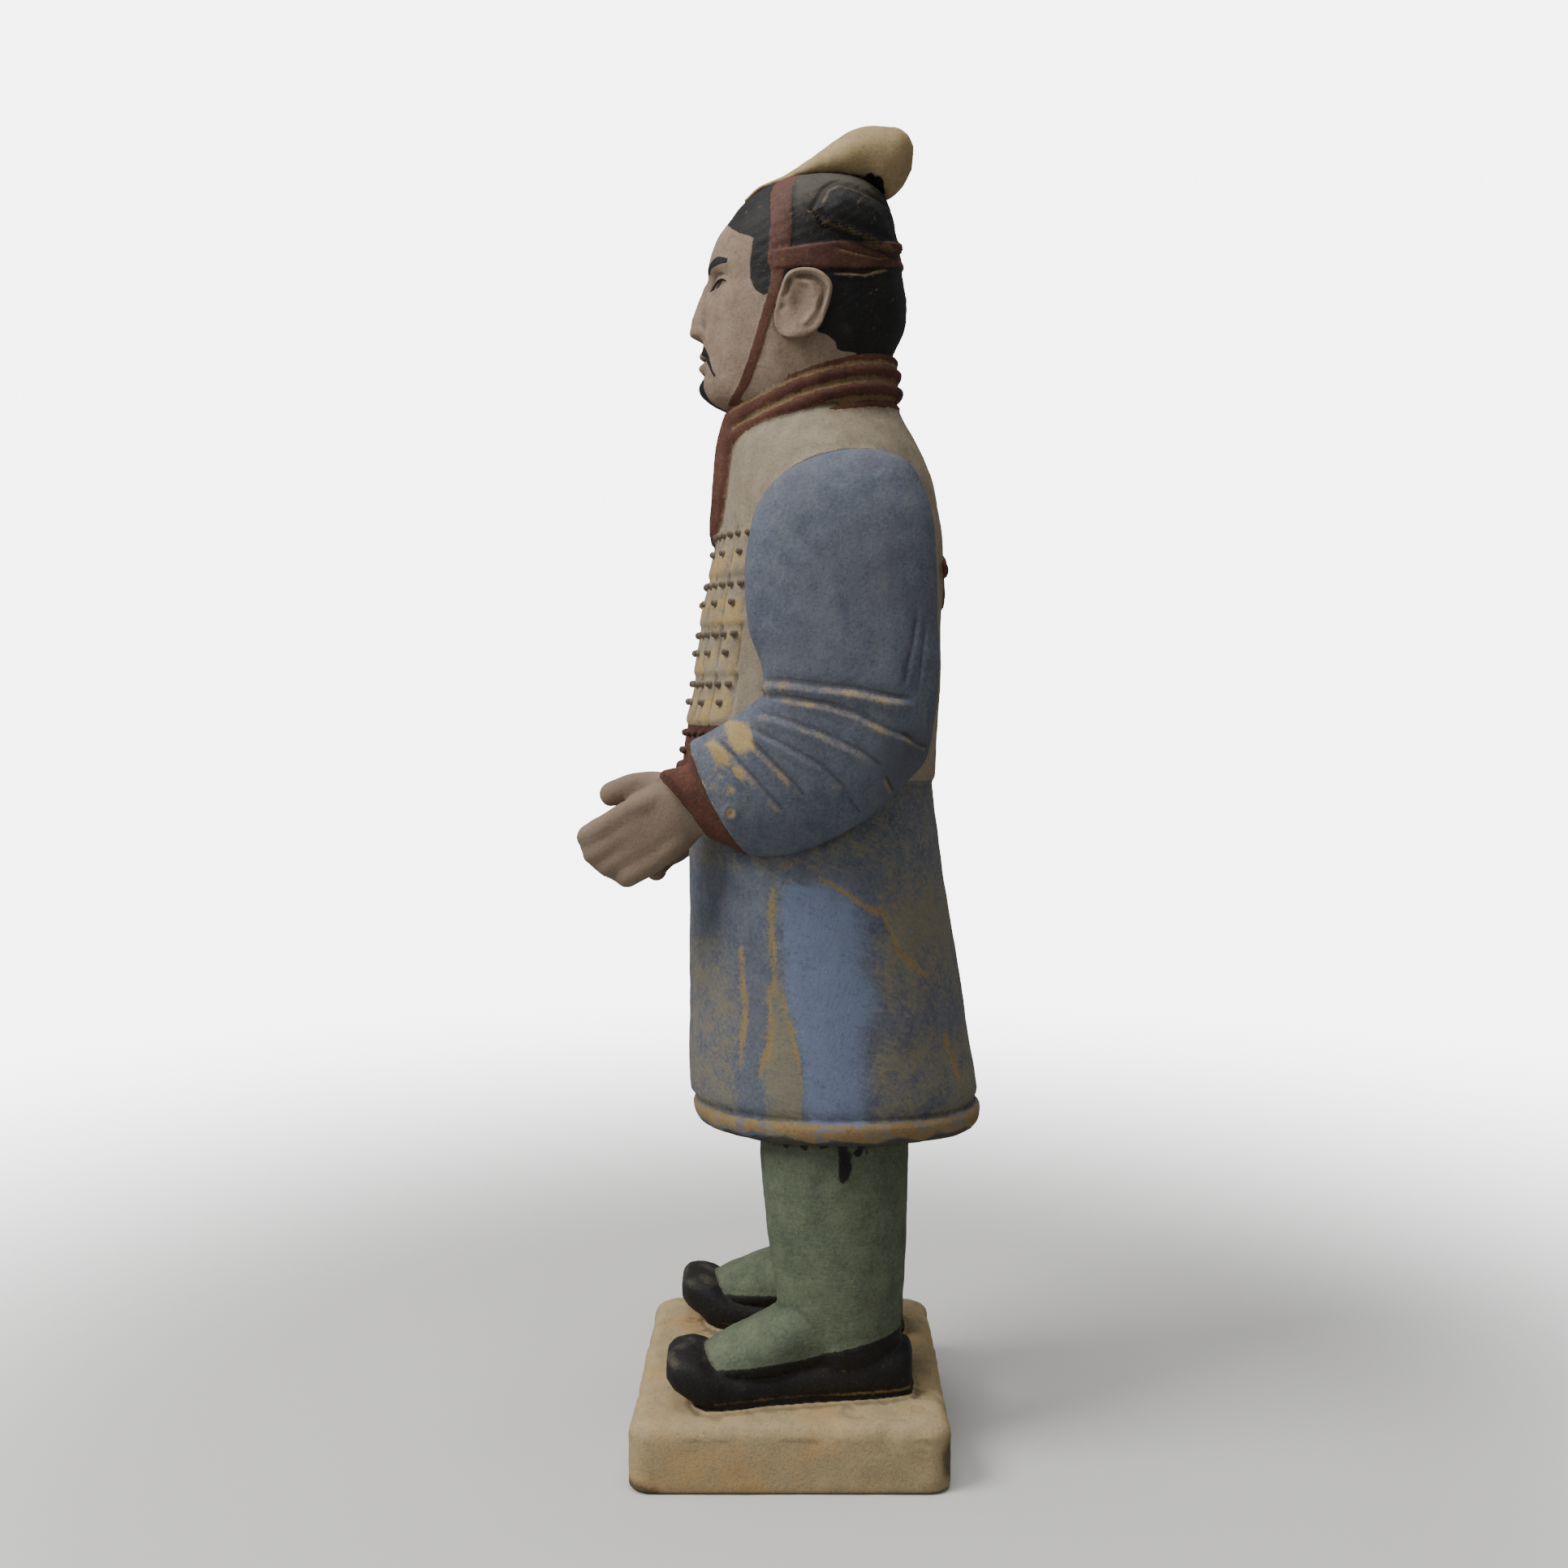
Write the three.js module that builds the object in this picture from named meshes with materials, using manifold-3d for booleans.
// A painted terracotta warrior on its plinth, cast as one piece, in millimetres.
// The figure faces -Y, its left side is +X and Z is up. The origin is the middle of the plinth's underside.
// Each form of the figure is a closed skin through rings of points, and the forms are joined into one solid.

import * as THREE from "three";
import { mergeVertices } from "three/addons/utils/BufferGeometryUtils.js";
import Module from "manifold-3d";

// Driving dimensions
const FIGURE_HEIGHT = 476; // from the top of the plinth to the top of the cap
const PLINTH_LENGTH = 134; // across the figure
const PLINTH_DEPTH = 114; // from front to back
const PLINTH_HEIGHT = 24;
const PLINTH_CORNER = 8; // radius of the upright edges
const PLINTH_EDGE = 5.5; // radius of the top edge
const PLINTH_FOOT = 1.2; // radius of the bottom edge
const SOLE_DEPTH = 2; // how far the soles run down into the plinth
const PLATE_STEP = 1.1; // how far a row of plates stands out over the next

// The figure's proportions are drawn on a figure DRAWN_HEIGHT tall, with heights taken from the soles.
const DRAWN_HEIGHT = 476;
const u = FIGURE_HEIGHT / DRAWN_HEIGHT;

// Sides and rows of the skins
const ROBE_SIDES = 28;
const HEAD_SIDES = 28;
const SLEEVE_SIDES = 14;
const LEG_SIDES = 14;
const SHOE_SIDES = 12;
const CUFF_SIDES = 12;
const PALM_SIDES = 10;
const SCARF_SIDES = 20;
const FINGER_SIDES = 6;
const CORNER_STEPS = 4;

// Robe: height, front, back, half width
const ROBE = [
  [94.6, -31, 68.5, 53.5],
  [95.8, -34.6, 71.2, 56.6],
  [98.2, -36.8, 72.8, 58.2],
  [101.4, -37.6, 73.2, 58.6],
  [103, -37, 72.4, 57.8],
  [104.4, -36.4, 70.9, 56.6],
  [107.5, -38.6, 72, 57.4],
  [126, -39.4, 68.8, 55.3],
  [147, -39.1, 65.6, 52.6],
  [166, -39.1, 62.2, 50.4],
  [203, -39.6, 57.1, 46.4],
  [222.5, -41, 54.6, 45],
  [224.5, -40.8, 55.9, 46],
  [235.5, -40.4, 56.2, 46],
  [261, -36.8, 57.9, 45.4],
  [280, -34.4, 58.1, 46.4],
  [300, -31, 58.8, 48.4],
  [313, -28.6, 58.8, 49.6],
  [328, -26.2, 56.8, 50],
  [338, -25, 54.8, 48.4],
  [347, -24, 51.2, 44.4],
  [355, -22.8, 47.4, 37],
  [362, -21.5, 43.5, 29.6],
  [378, -18, 38, 23],
];
const HEM_SAG = [1.8, 3.6]; // how much lower the hem hangs in front and behind than at the sides
const HEM_TOP = 160; // the sag has died out at this height

// Leg: height, front, back, half width, middle
const LEG = [
  [5, -1, 38.4, 15.2, 31.4],
  [13, -2.2, 39, 15.8, 31.4],
  [19, -3.3, 40.2, 17, 31.4],
  [35, -5.3, 41.6, 19, 30.7],
  [86, -11.1, 43.7, 21, 29],
  [98, -11.3, 43.8, 20.6, 29],
];

// Instep under the stocking: place from front to back, lowest, highest, half width, middle
const INSTEP = [
  [24, 5, 40, 14, 31.5],
  [5, 5, 38, 16, 33.5],
  [-4, 5, 32, 16.4, 35.2],
  [-13, 5, 27.6, 16, 37],
  [-22, 5, 23.4, 14.6, 38.6],
  [-29, 6, 20, 11.6, 40],
  [-34, 9, 15.5, 6, 40.8],
];

// Shoe: place, lowest, highest, half width, middle
const SHOE = [
  [44.8, 2.4, 14.6, 7.5, 30],
  [43.8, -1, 16.4, 11.2, 30.1],
  [38, -1, 17.2, 14, 30.6],
  [25, -1, 16.4, 15.6, 31.8],
  [10, -1, 14.6, 15.8, 33.4],
  [-6, -1, 12.4, 16.2, 35.6],
  [-18, -1, 12.4, 17.4, 38],
  [-27, -1, 15.6, 17.8, 40],
  [-32, 0, 18.6, 17.2, 41],
  [-37, 3.5, 19.6, 15.4, 41.9],
  [-41.5, 7.5, 18.8, 12, 42.6],
  [-44.4, 11, 16, 7, 43],
];
const SHOE_FULLNESS = 1.5; // 1 is an oval, and more is squarer

// Sleeve: station, middle across, place, height, half across, half along its ring, slope of the ring
const SLEEVE = [
  [0, 43, 25, 345, 4, 8, 0],
  [1, 45.5, 24, 341.5, 9, 17.5, 0],
  [2, 48, 20.5, 331, 12.5, 28, 0],
  [3, 49.8, 18.8, 317, 14.3, 33, 0],
  [4, 50.8, 18.2, 299, 15.2, 34.5, 0],
  [5, 51.2, 19, 281, 15.5, 34, 0],
  [6, 51.5, 22, 264.5, 15.6, 31.5, 2],
  [7, 51.5, 20.5, 246.5, 15.6, 31.3, -19.6],
  [8, 50.5, 13, 237.5, 15.5, 30, -33.4],
  [9, 48, 1, 228, 15, 28.6, -50.3],
  [10, 45, -13.5, 221.5, 14.5, 26.2, -61.5],
  [11, 42.5, -25, 218.5, 13.6, 23.4, -62.4],
];
const FIRST_FOLD = 5.7; // station of the first fold of the sleeve
const FOLD_PITCH = 0.78; // stations from fold to fold
const FOLD_DEPTH = 1.5;

// Cuff under the sleeve: middle across, place, height, half across, half along its ring, slope
const CUFF = [
  [44, -18, 222, 10, 17, -62],
  [42.6, -26.4, 218.2, 12.2, 21.6, -62],
  [41.8, -30, 217, 11.8, 20.4, -59],
  [40.4, -36.4, 215.4, 10, 16.4, -52],
  [39.4, -38.5, 214.8, 8.4, 14, -50],
];

// Hand, in its own frame: x away from the palm, y along the fingers, z from little finger to thumb
const WRIST = [39.2, -36, 215.5]; // middle across, place, height
const HAND_SLOPE = 31; // the fingers point this much below level
const PALM = [
  [-5, 6.8, 11.4, 1.4],
  [2, 7.2, 12.4, 1.2],
  [9, 7.8, 13.6, 0.6],
  [16, 7.8, 14.2, 0],
  [22, 6.6, 13.8, -0.4],
  [26, 4.6, 12.4, -0.6],
]; // place along the hand, half thickness, half height, middle height
const FINGERS = [
  [9.6, 43],
  [3.1, 44.2],
  [-3.4, 42],
  [-9.7, 37],
]; // height of each finger over the hand's middle, and where its tip ends
const FINGER_PATH = [
  [1.4, 12, 0.8],
  [2.4, 22, 1],
  [1.2, 31, 1],
]; // distance from the palm, place along the hand, share of the finger's height
const FINGER_CURL = 5; // the tip ends this far inside the palm
const FINGER_RADIUS = 4.1;
const THUMB = [
  [1, 9, -1],
  [9, 14.6, -3.4],
  [18, 17.8, -5],
  [28, 19, -6.4],
]; // place along the hand, height, distance towards the palm
const THUMB_RADIUS = 4.5;
const RIGHT_HAND_TURN = 38; // the right hand turns in across the body by this much
const RIGHT_HAND_DROP = 4;

// Scarf: share of its height, how far it stands out, over rolls that sink towards the throat
const SCARF_BASE = [362.5, 342]; // height at the nape and at the throat
const SCARF_TOP = [387, 369];
const SCARF_RISE = [0, 0.08, 0.16, 0.25, 0.34, 0.44, 0.53, 0.63, 0.72, 0.81, 0.9, 1];
const SCARF_BULGE = [-2.5, 0.3, 1.3, -0.2, 2.1, 2.7, 0.4, 1.7, 2.1, 0.1, 0.6, -2.5];

// Scarf ends: place across, height, half width, thickness over the chest
const SCARF_ENDS = [
  {
    side: 1,
    rows: [
      [4, 364, 7, 5],
      [6, 352, 8, 6],
      [7, 340, 8, 5.6],
      [7, 328, 7.4, 5],
      [6, 319, 6, 4.4],
      [5.4, 313, 3.5, 2.8],
    ],
  },
  {
    side: -1,
    rows: [
      [4, 364, 7, 4.6],
      [7, 352, 8, 5],
      [8.4, 342, 7.6, 4.6],
      [8.6, 333, 6.4, 4],
      [8, 327, 3.6, 2.6],
    ],
  },
];

// Head: height, front, back, half width
const HEAD = [
  [358, -10, 26, 15],
  [363, -18, 30, 19],
  [366, -26, 32, 21.8],
  [369, -31, 34, 23.8],
  [372.5, -33.2, 36, 25.4],
  [376, -34, 37.5, 26.8],
  [385, -34, 39, 29],
  [390, -34, 41, 30],
  [394, -33.8, 43, 30.6],
  [400, -33.4, 44.8, 31.2],
  [408, -32.6, 44.9, 31.8],
  [412, -32, 44.3, 32],
  [419, -32, 43.2, 32.2],
  [424, -31.4, 42.6, 32.2],
  [431, -29.4, 41.2, 31.6],
  [438, -25.4, 40.3, 30.2],
  [443, -21.8, 38.8, 28.2],
  [448, -16.6, 36.8, 24.8],
  [452, -11.4, 33, 20],
  [454.5, -5, 28, 13],
  [455.5, 3, 22, 6],
];
const HEAD_RINGS = [
  358, 366, 370, 374, 378.5, 382.2, 384.7, 387, 391, 393.5, 397, 404, 413, 415.5, 420, 424, 427,
  431, 435, 440, 444.5, 448.5, 452, 455.5,
];
const FRONT_CROWDING = 0.3; // how much closer together the head's points are in front

// Features of the face on its middle line and on both sides: rise, across, height, spread across, spread up
const FACE_MIDDLE = [
  [1.5, 0, 386.8, 6.5, 1.7],
  [-1.3, 0, 384.7, 7.5, 0.9],
  [1.7, 0, 382.2, 5.2, 1.8],
  [-0.9, 0, 378.6, 6, 1.6],
  [2, 0, 373, 8, 4.4],
];
const FACE_SIDES = [
  [-3.2, 12.6, 412.6, 6.6, 4.2],
  [2.2, 12.9, 411.4, 5, 2.8],
  [1.3, 12.4, 418.6, 8, 2.2],
  [1.2, 19, 402, 6.5, 6.5],
  [1.9, 4.3, 395.6, 2.3, 2.3],
];
const NOSE = { rise: 6.2, halfWidth: 3.9, root: 417, tip: 397, base: 392.8 };

// Ribbon round the head, from the temple to the back: place, height of its lower and of its upper edge
const BAND = [
  [-7, 413.8, 420.8],
  [12, 413.8, 423.4],
  [25, 414.5, 425.5],
  [36, 417, 426.5],
  [43, 420.5, 431],
];
const BAND_RISE = 1;
const BAND_SOFTNESS = 1.5;

// Folded lock over each ear: place, height of its lower and of its upper edge
const LOCK = [
  [10, 436, 436],
  [14, 430.5, 443.5],
  [17.5, 429.3, 446],
  [25, 426.6, 444.3],
  [35.5, 425, 440],
  [40, 424.6, 427],
];
const LOCK_RISE = 3;
const LOCK_SOFTNESS = 3.5;

// Ear: middle across, place, height; half sizes; lean to the back; how much wider it is above than below
const EAR = { at: [32.4, 4.2, 400.4], half: [4, 8.6, 12.8], lean: 20, spread: 0.25, dish: 0.45 };

// Cap: middle across is 0; place, height, half width, half thickness, slope
const CAP = [
  [-17.5, 446.6, 4, 1, 24],
  [-12.5, 449.4, 9, 1.8, 26],
  [-1, 453.2, 12, 3, 30],
  [8, 456.4, 14, 5.4, 38],
  [18, 459.6, 15.5, 9, 32],
  [29.5, 463.4, 16, 12, 8],
  [38, 462, 15, 13.6, -4],
  [44, 463.2, 11.4, 10.2, -4],
  [47.3, 464.2, 4.6, 4.6, -4],
];

// Plates of the breast armour
const PLATE_ROWS = 5;
const PLATE_PITCH = 18.6; // height of a row
const PLATES_TOP = 319.2; // height of the first row's top edge
const PLATES_SPREAD = 50; // degrees to each side of the breast
const PLATE_EDGE = 1.2; // height over which a row steps back to the next

// Bow of ribbon on the back: height of its knot, and its loops and ends as place across, height, half sizes
const BOW_HEIGHT = 304;
const BOW = [
  [0, 0, 3, 2.6, 3.4],
  [7.5, 1.4, 6.4, 1.5, 3.6],
  [3.6, -8.4, 2.2, 1.2, 7.4],
];

const wasm = await Module();
wasm.setup();

// A closed geometry as a solid, whichever way round its rings run.
function solidOf(geometry) {
  const bare = geometry.clone();
  bare.deleteAttribute("normal");
  bare.deleteAttribute("uv");
  const merged = mergeVertices(bare, 1e-4);
  const triVerts = new Uint32Array(merged.index.array);
  const make = () =>
    new wasm.Manifold(
      new wasm.Mesh({ numProp: 3, vertProperties: merged.attributes.position.array, triVerts }),
    );
  const made = make();
  if (made.volume() > 0) return made;
  for (let i = 0; i < triVerts.length; i += 3) {
    [triVerts[i + 1], triVerts[i + 2]] = [triVerts[i + 2], triVerts[i + 1]];
  }
  return make();
}

// A skin through rings of points, closed at both ends by a fan about the end ring's middle.
function skin(rings) {
  const sides = rings[0].length;
  const points = rings.flat();
  const faces = [];
  for (let r = 0; r + 1 < rings.length; r += 1) {
    for (let i = 0; i < sides; i += 1) {
      const j = (i + 1) % sides;
      const [a, b, c, d] = [r * sides + i, r * sides + j, (r + 1) * sides + j, (r + 1) * sides + i];
      faces.push(a, b, c, a, c, d);
    }
  }
  for (const [r, flip] of [[0, true], [rings.length - 1, false]]) {
    const middle = new THREE.Vector3();
    rings[r].forEach((p) => middle.addScaledVector(p, 1 / sides));
    const hub = points.push(middle) - 1;
    for (let i = 0; i < sides; i += 1) {
      const [a, b] = [r * sides + i, r * sides + ((i + 1) % sides)];
      faces.push(...(flip ? [hub, b, a] : [hub, a, b]));
    }
  }
  const geometry = new THREE.BufferGeometry().setFromPoints(points);
  return geometry.setIndex(faces);
}

// A ring of points about a middle: an oval whose half axes are two vectors, squarer as fullness grows from 1.
function oval(middle, across, along, sides, fullness = 1) {
  return Array.from({ length: sides }, (_, i) => {
    const angle = (2 * Math.PI * i) / sides;
    const [c, s] = [Math.cos(angle), Math.sin(angle)];
    const size = (Math.abs(c) ** (2 * fullness) + Math.abs(s) ** (2 * fullness)) ** (-0.5 / fullness);
    return middle.clone().addScaledVector(across, c * size).addScaledVector(along, s * size);
  });
}

// Reads a table at a value of its first column, by a smooth curve that never overshoots the rows.
function readTable(rows, at) {
  const last = rows.length - 1;
  const value = Math.min(Math.max(at, rows[0][0]), rows[last][0]);
  let i = 0;
  while (i < last - 1 && value > rows[i + 1][0]) i += 1;
  const span = rows[i + 1][0] - rows[i][0];
  const t = (value - rows[i][0]) / span;
  return rows[0].map((_, column) => {
    const slope = (j) => (rows[j + 1][column] - rows[j][column]) / (rows[j + 1][0] - rows[j][0]);
    const tangent = (j) => {
      if (j === 0 || j === last) return slope(Math.min(j, last - 1));
      const [before, after] = [slope(j - 1), slope(j)];
      return before * after <= 0 ? 0 : (2 * before * after) / (before + after);
    };
    const [a, b] = [rows[i][column], rows[i + 1][column]];
    const [ma, mb] = [tangent(i) * span, tangent(i + 1) * span];
    return (
      a * (1 + 2 * t) * (1 - t) ** 2 + ma * t * (1 - t) ** 2 +
      b * t * t * (3 - 2 * t) + mb * t * t * (t - 1)
    );
  });
}

const radians = THREE.MathUtils.degToRad;
const bell = (x, spread) => Math.exp(-((x / spread) ** 2));
const ease = (x, low, high) => THREE.MathUtils.smoothstep(x, low, high);

// A point of the drawn figure at its real place, standing on the plinth.
const placed = (x, y, z) => new THREE.Vector3(x * u, y * u, z * u + PLINTH_HEIGHT);

// The plinth: a block with round corners, a round top edge and a flat underside.
function plinth() {
  const levels = [[0, PLINTH_FOOT], [PLINTH_FOOT, 0], [PLINTH_HEIGHT - PLINTH_EDGE, 0]];
  for (const step of [0.4, 0.75, 1]) {
    const angle = (Math.PI / 2) * step;
    levels.push([
      PLINTH_HEIGHT - PLINTH_EDGE * (1 - Math.sin(angle)),
      PLINTH_EDGE * (1 - Math.cos(angle)),
    ]);
  }
  const rings = levels.map(([height, inset]) => {
    const [halfX, halfY] = [PLINTH_LENGTH / 2 - inset, PLINTH_DEPTH / 2 - inset];
    const ring = [];
    [[1, 1, 0], [-1, 1, 1], [-1, -1, 2], [1, -1, 3]].forEach(([sx, sy, quarter]) => {
      for (let i = 0; i <= CORNER_STEPS; i += 1) {
        const angle = (Math.PI / 2) * (quarter + i / CORNER_STEPS);
        ring.push(new THREE.Vector3(
          sx * (halfX - PLINTH_CORNER) + PLINTH_CORNER * Math.cos(angle),
          sy * (halfY - PLINTH_CORNER) + PLINTH_CORNER * Math.sin(angle),
          height,
        ));
      }
    });
    return ring;
  });
  return solidOf(skin(rings));
}

// A point on the robe at an angle from the breast (0) towards the figure's left side, and its outward direction.
function onRobe(angle, height) {
  const [, front, back, halfWidth] = readTable(ROBE, height);
  const [middle, halfDepth] = [(front + back) / 2, (back - front) / 2];
  const x = halfWidth * Math.sin(angle);
  const y = middle - halfDepth * Math.cos(angle);
  const out = new THREE.Vector3(x / halfWidth ** 2, (y - middle) / halfDepth ** 2, 0).normalize();
  return { x, y, out };
}

// How far a row of plates stands out of the robe.
function plateRise(angle, height) {
  const turned = Math.abs(Math.atan2(Math.sin(angle), Math.cos(angle)));
  const breast = 1 - ease(turned, radians(PLATES_SPREAD), radians(PLATES_SPREAD + 6));
  const below = (PLATES_TOP - height) / PLATE_PITCH;
  if (below < 0 || below > PLATE_ROWS) return 0;
  return PLATE_STEP * (below - Math.floor(below)) * breast;
}

// The heights of the robe's rings: two at each row of plates, where one row steps back to the next.
function robeHeights() {
  const plain = ROBE.map(([height]) => height);
  const low = PLATES_TOP - PLATE_ROWS * PLATE_PITCH;
  const heights = plain.filter((height) => height < low - 1 || height > PLATES_TOP);
  for (let row = 1; row <= PLATE_ROWS; row += 1) {
    const edge = PLATES_TOP - row * PLATE_PITCH;
    heights.push(edge - PLATE_EDGE, edge + 0.01);
  }
  return [...heights, PLATES_TOP].sort((a, b) => a - b);
}

// The robe, from its hem to the neck.
function robe() {
  const rings = robeHeights().map((height) =>
    Array.from({ length: ROBE_SIDES }, (_, i) => {
      const angle = (2 * Math.PI * i) / ROBE_SIDES;
      const { x, y, out } = onRobe(angle, height);
      const rise = plateRise(angle, height);
      const sag = HEM_SAG[Math.cos(angle) > 0 ? 0 : 1] * Math.cos(angle) ** 2;
      const sink = sag * (1 - ease(height, ROBE[0][0], HEM_TOP));
      return placed(x + out.x * rise, y + out.y * rise, height - sink);
    }),
  );
  return solidOf(skin(rings));
}

// One trouser leg.
function leg(side) {
  return solidOf(skin(LEG.map(([height, front, back, halfWidth, middle]) =>
    oval(
      placed(side * middle, (front + back) / 2, height),
      new THREE.Vector3(halfWidth * u, 0, 0),
      new THREE.Vector3(0, ((back - front) / 2) * u, 0),
      LEG_SIDES,
    ),
  )));
}

// A form that lies from back to front: an instep or a shoe, through upright rings.
function lying(rows, side, fullness, sink = 0) {
  return solidOf(skin(rows.map(([place, low, high, halfWidth, middle]) => {
    const bottom = low < 0 ? -sink : low * u;
    const half = (high * u - bottom) / 2;
    return oval(
      new THREE.Vector3(side * middle * u, place * u, PLINTH_HEIGHT + bottom + half),
      new THREE.Vector3(halfWidth * u, 0, 0),
      new THREE.Vector3(0, 0, half),
      SHOE_SIDES,
      fullness,
    );
  })));
}

// A ring of a sleeve or cuff, which stands in a plane that slopes from front to back.
function slopedRing([across, place, height, halfAcross, halfAlong, slope], side, sides, rise = () => 0) {
  const tilt = radians(slope);
  const along = new THREE.Vector3(0, Math.cos(tilt), Math.sin(tilt));
  const middle = placed(side * across, place, height);
  return Array.from({ length: sides }, (_, i) => {
    const angle = (2 * Math.PI * i) / sides;
    const grow = rise(angle);
    return middle.clone()
      .add(new THREE.Vector3(side * (halfAcross + grow) * u * Math.cos(angle), 0, 0))
      .addScaledVector(along, (halfAlong + grow) * u * Math.sin(angle));
  });
}

// A sleeve, with folds that fan out from the crook of the arm.
function sleeve(side) {
  const last = SLEEVE.length - 1;
  const stations = [0, 1, 2, 3, 4, 5];
  for (let at = FIRST_FOLD; at < last; at += FOLD_PITCH / 2) stations.push(at);
  stations.push(last);
  const rings = stations.map((station) => {
    const [, ...ring] = readTable(SLEEVE, station);
    const depth = FOLD_DEPTH * ease(station, 5.3, 6) * (1 - 0.6 * ease(station, last - 1, last));
    return slopedRing(ring, side, SLEEVE_SIDES, (angle) => {
      const phase = (station - FIRST_FOLD) / FOLD_PITCH + 0.25 * Math.sin(angle);
      return depth * (Math.abs(Math.sin(Math.PI * phase)) - 0.55) * ease(Math.cos(angle), -0.4, 0.3);
    });
  });
  return solidOf(skin(rings));
}

// The red cuff that shows inside the sleeve's mouth.
function cuff(side) {
  return solidOf(skin(CUFF.map((ring) => slopedRing(ring, side, CUFF_SIDES))));
}

// Puts a hand's own frame on a wrist.
function handPlace(side) {
  const turn = side < 0 ? radians(RIGHT_HAND_TURN) : 0;
  const drop = side < 0 ? RIGHT_HAND_DROP : 0;
  const slope = radians(HAND_SLOPE);
  const [across, place, height] = WRIST;
  return (x, y, z) => {
    const forward = y * Math.cos(slope) + z * Math.sin(slope);
    const up = -y * Math.sin(slope) + z * Math.cos(slope);
    const inward = -x * Math.cos(turn) + forward * Math.sin(turn);
    const ahead = forward * Math.cos(turn) + x * Math.sin(turn);
    return placed(side * (across - inward), place - ahead, height - drop + up);
  };
}

// A finger or thumb: a round tube along points, with a round tip.
function digit(at, points, radius) {
  const curve = new THREE.CatmullRomCurve3(points.map(([x, y, z]) => new THREE.Vector3(x, y, z)));
  const rings = [];
  for (const [share, width] of [[0, 0.8], [0.35, 1], [0.65, 1], [0.9, 0.9], [1, 0.4]]) {
    const middle = curve.getPointAt(share);
    const ahead = curve.getTangentAt(share);
    const up = new THREE.Vector3(0, 0, 1).addScaledVector(ahead, -ahead.z).normalize();
    const out = new THREE.Vector3().crossVectors(ahead, up);
    const ring = oval(
      middle, up.multiplyScalar(radius * width), out.multiplyScalar(radius * width), FINGER_SIDES,
    );
    rings.push(ring.map((p) => at(p.x, p.y, p.z)));
  }
  return solidOf(skin(rings));
}

// A half-open hand: palm, four fingers that curl towards the palm, and a thumb above them.
function hand(side) {
  const at = handPlace(side);
  const palm = solidOf(skin(PALM.map(([place, halfThick, halfHeight, middle]) =>
    oval(
      new THREE.Vector3(0, place, middle),
      new THREE.Vector3(halfThick, 0, 0),
      new THREE.Vector3(0, 0, halfHeight),
      PALM_SIDES,
    ).map((p) => at(p.x, p.y, p.z)),
  )));
  const fingers = FINGERS.map(([height, tip]) => {
    const path = FINGER_PATH.map(([out, place, share]) => [out, place, height * share]);
    return digit(at, [...path, [-FINGER_CURL, tip, height]], FINGER_RADIUS);
  });
  const thumb = digit(at, THUMB.map(([place, height, inward]) => [inward, place, height]), THUMB_RADIUS);
  return [palm, ...fingers, thumb];
}

// The scarf wound round the neck, in rolls that sink towards the throat.
function scarf() {
  const rings = SCARF_RISE.map((share, row) =>
    Array.from({ length: SCARF_SIDES }, (_, i) => {
      const angle = (2 * Math.PI * i) / SCARF_SIDES;
      const throat = ((1 + Math.cos(angle)) / 2) ** 1.5;
      const low = SCARF_BASE[0] + (SCARF_BASE[1] - SCARF_BASE[0]) * throat;
      const high = SCARF_TOP[0] + (SCARF_TOP[1] - SCARF_TOP[0]) * throat;
      const height = low + (high - low) * share;
      const bulge = SCARF_BULGE[row];
      const [front, back, halfWidth] = [-24.4, 41.2, 29.4 - 2.6 * share];
      return placed(
        (halfWidth + bulge) * Math.sin(angle),
        (front + back) / 2 - ((back - front) / 2 + bulge) * Math.cos(angle),
        height,
      );
    }),
  );
  return solidOf(skin(rings));
}

// An end of the scarf that hangs on the breast.
function scarfEnd({ side, rows }) {
  return solidOf(skin(rows.map(([across, height, halfWidth, thick]) => {
    const [, front] = readTable(ROBE, height);
    return oval(
      placed(side * across, front + 1, height),
      new THREE.Vector3(halfWidth * u, 0, 0),
      new THREE.Vector3(0, thick * u, 0),
      8,
    );
  })));
}

// How far the face stands out of the plain head at a place across and a height.
function faceRise(x, height) {
  let rise = 0;
  for (const [amount, across, at, spreadX, spreadZ] of FACE_MIDDLE) {
    rise += amount * bell(x - across, spreadX) * bell(height - at, spreadZ);
  }
  for (const [amount, across, at, spreadX, spreadZ] of FACE_SIDES) {
    rise += amount * bell(Math.abs(x) - across, spreadX) * bell(height - at, spreadZ);
  }
  const down = THREE.MathUtils.clamp((NOSE.root - height) / (NOSE.root - NOSE.tip), 0, 1);
  const ended = ease(height, NOSE.base - 1.5, NOSE.base + 2);
  return rise + NOSE.rise * (0.15 + 0.85 * down) * Math.min(1, down * 6) * ended * bell(x, NOSE.halfWidth);
}

// How far a place is inside a strip whose lower and upper edges are read from a table, as an eased share of 1.
function within(rows, y, height, softness) {
  const [, low, high] = readTable(rows, y);
  const inside = Math.min(height - low, high - height, y - rows[0][0]);
  return ease(inside, -softness / 2, softness / 2);
}

// How far the ribbon and the folded locks stand out of the hair.
function hairRise(y, height) {
  const band = within(BAND, y, height, BAND_SOFTNESS);
  const lock = y < LOCK[LOCK.length - 1][0] ? within(LOCK, y, height, LOCK_SOFTNESS) : 0;
  return BAND_RISE * band + LOCK_RISE * lock;
}

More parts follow.
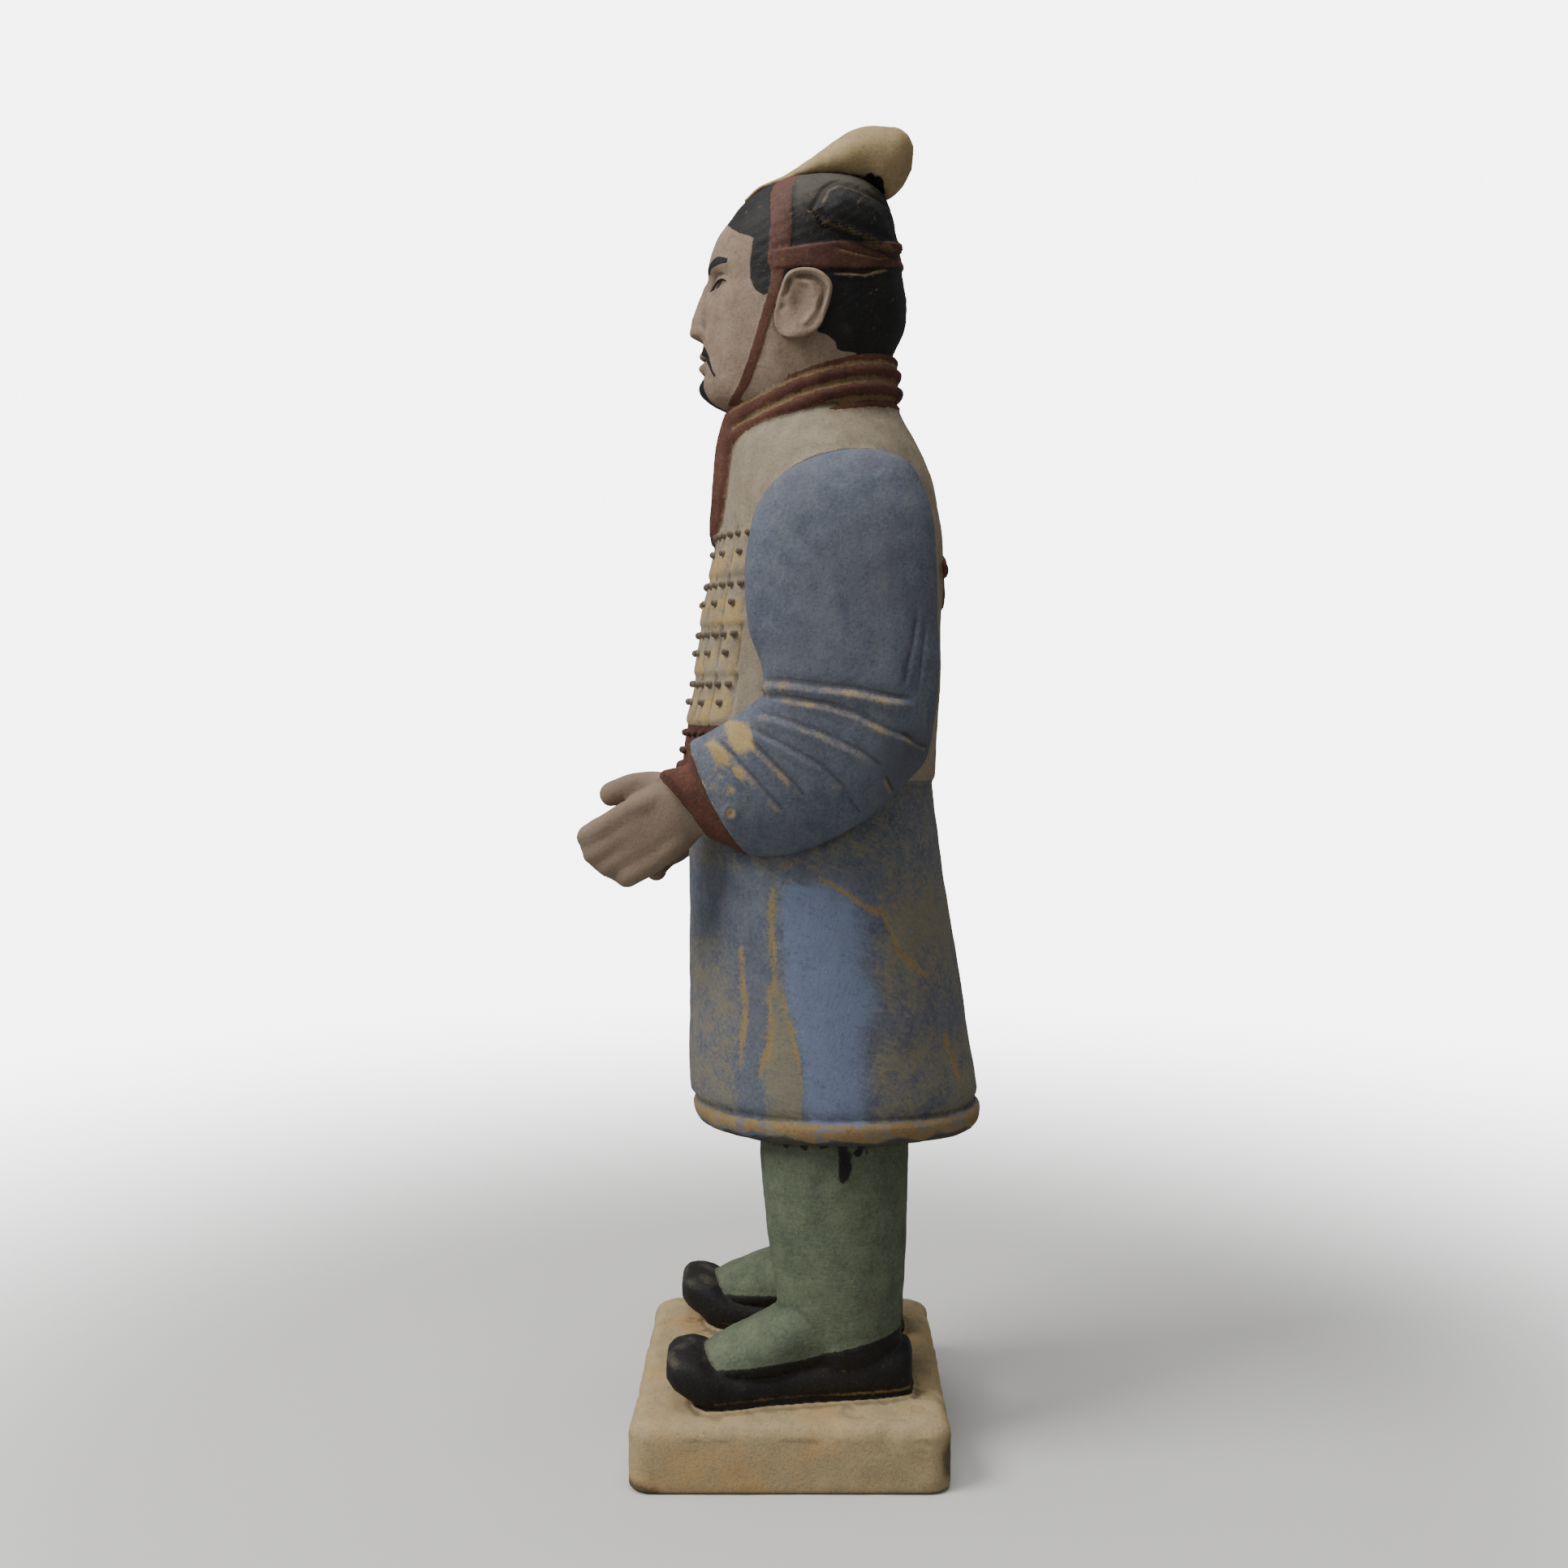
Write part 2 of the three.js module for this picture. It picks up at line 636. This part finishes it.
// The head with its face, hair, ribbon and locks.
function head() {
  const rings = HEAD_RINGS.map((height) => {
    const [, front, back, halfWidth] = readTable(HEAD, height);
    const [middle, halfDepth] = [(front + back) / 2, (back - front) / 2];
    return Array.from({ length: HEAD_SIDES }, (_, i) => {
      const turn = (2 * Math.PI * i) / HEAD_SIDES;
      const angle = turn - FRONT_CROWDING * Math.sin(turn);
      const [x, y] = [halfWidth * Math.sin(angle), middle - halfDepth * Math.cos(angle)];
      const facing = ease(Math.cos(angle), 0.1, 0.5);
      const rise = hairRise(y, height);
      return placed(x + rise * Math.sin(angle), y - rise * Math.cos(angle) - facing * faceRise(x, height), height);
    });
  });
  return solidOf(skin(rings));
}

// An ear: a flattened ball, dished on its outer side.
function ear(side) {
  const ball = new THREE.SphereGeometry(1, 10, 7);
  const place = ball.getAttribute("position");
  for (let i = 0; i < place.count; i += 1) {
    const [x, y, z] = [place.getX(i), place.getY(i), place.getZ(i)];
    const dish = x > 0 ? 1 - EAR.dish * bell(Math.hypot(y, z), 0.62) : 1;
    const width = EAR.half[1] * (1 + EAR.spread * z);
    place.setXYZ(i, side * x * dish * EAR.half[0], y * width, z * EAR.half[2]);
  }
  ball.rotateX(-radians(EAR.lean));
  ball.scale(u, u, u);
  const [x, y, z] = EAR.at;
  const at = placed(side * x, y, z);
  ball.translate(at.x, at.y, at.z);
  return solidOf(ball);
}

// The cap: a flat board over the crown that swells into a round lobe behind.
function cap() {
  return solidOf(skin(CAP.map(([place, height, halfWidth, halfThick, slope]) => {
    const tilt = radians(slope);
    return oval(
      placed(0, place, height),
      new THREE.Vector3(halfWidth * u, 0, 0),
      new THREE.Vector3(0, -Math.sin(tilt), Math.cos(tilt)).multiplyScalar(halfThick * u),
      14,
    );
  })));
}

// The bow of ribbon on the back: a knot, two loops and two ends.
function bow() {
  const [, , back] = readTable(ROBE, BOW_HEIGHT);
  const made = [];
  BOW.forEach(([across, height, halfX, halfY, halfZ], piece) => {
    for (const side of piece === 0 ? [1] : [1, -1]) {
      const ball = new THREE.SphereGeometry(1, 8, 6);
      ball.scale(halfX * u, halfY * u, halfZ * u);
      if (piece > 0) ball.rotateY(side * radians(piece === 1 ? 12 : -14));
      const at = placed(side * across, back - 0.2, BOW_HEIGHT + height);
      ball.translate(at.x, at.y, at.z);
      made.push(solidOf(ball));
    }
  });
  return made;
}

const forms = [
  plinth(),
  robe(),
  scarf(),
  ...SCARF_ENDS.map(scarfEnd),
  head(),
  cap(),
  ...bow(),
];
for (const side of [1, -1]) {
  forms.push(leg(side), lying(INSTEP, side, 1), lying(SHOE, side, SHOE_FULLNESS, SOLE_DEPTH));
  forms.push(sleeve(side), cuff(side), ...hand(side), ear(side));
}
const cast = forms.reduce((all, form) => all.add(form)).getMesh();

const geometry = new THREE.BufferGeometry();
geometry.setAttribute("position", new THREE.BufferAttribute(new Float32Array(cast.vertProperties), 3));
geometry.setIndex(new THREE.BufferAttribute(new Uint32Array(cast.triVerts), 1));
geometry.computeVertexNormals();

const terracotta = new THREE.MeshStandardMaterial({ color: 0x8a7d63, roughness: 0.9, metalness: 0 });
const statue = new THREE.Mesh(geometry, terracotta);
statue.name = "warrior_statue";

const part = new THREE.Group();
part.add(statue);

export default part;
